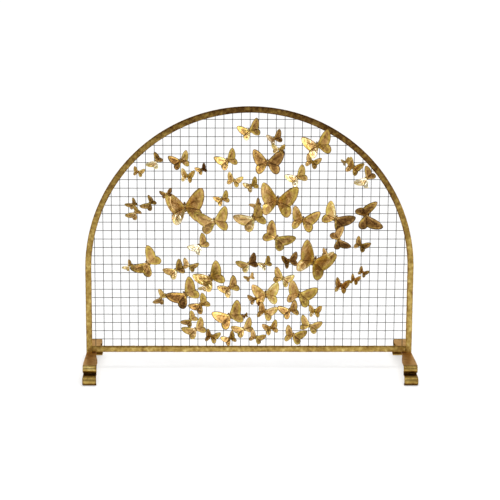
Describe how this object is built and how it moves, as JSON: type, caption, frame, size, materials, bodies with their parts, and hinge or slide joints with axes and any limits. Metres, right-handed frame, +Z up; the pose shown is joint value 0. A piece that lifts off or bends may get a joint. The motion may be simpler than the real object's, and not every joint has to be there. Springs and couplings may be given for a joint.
{
  "type": "fireplace screen",
  "caption": "Free-standing fireplace screen with an arched bar frame on strap feet, filled with square wire mesh that carries folded sheet-metal butterflies.",
  "frame": {"origin": "centre of the screen's footprint at floor level, under the middle of the mesh", "axes": "+X along the width of the screen, +Y through its depth away from the viewer (front, with the butterflies, towards -Y), +Z up"},
  "size_m": [0.975, 0.358, 0.7934],
  "materials": {
    "frame_gold": "hammered antique gold",
    "wing_gold": "brushed antique gold with brown patina",
    "body_gold": "antique gold, darkened",
    "post_gold": "antique gold, darkened",
    "wire_dark": "dark bronze, semi-matt",
    "screw_dark": "dark bronze, semi-matt"
  },
  "bodies": {
    "root": {"arch_frame": "frame_gold", "bodies_large_medium": "body_gold", "bodies_small": "body_gold", "bottom_rail": "frame_gold", "foot_screws": "screw_dark", "left_foot": "frame_gold", "mesh_horizontal_wires": "wire_dark", "mesh_vertical_wires": "wire_dark", "posts_large_medium": "post_gold", "posts_small": "post_gold", "right_foot": "frame_gold", "wings_large_1": "wing_gold", "wings_large_2": "wing_gold", "wings_large_3": "wing_gold", "wings_medium_01": "wing_gold", "wings_medium_02": "wing_gold", "wings_medium_03": "wing_gold", "wings_medium_04": "wing_gold", "wings_medium_05": "wing_gold", "wings_medium_06": "wing_gold", "wings_medium_07": "wing_gold", "wings_medium_08": "wing_gold", "wings_medium_09": "wing_gold", "wings_medium_10": "wing_gold", "wings_medium_11": "wing_gold", "wings_medium_12": "wing_gold", "wings_medium_13": "wing_gold", "wings_medium_14": "wing_gold", "wings_small_low_centre": "wing_gold", "wings_small_low_left": "wing_gold", "wings_small_low_right": "wing_gold", "wings_small_middle_centre": "wing_gold", "wings_small_middle_left": "wing_gold", "wings_small_middle_right": "wing_gold", "wings_small_top_centre": "wing_gold", "wings_small_top_left": "wing_gold", "wings_small_top_right": "wing_gold"}
  },
  "joints": []
}
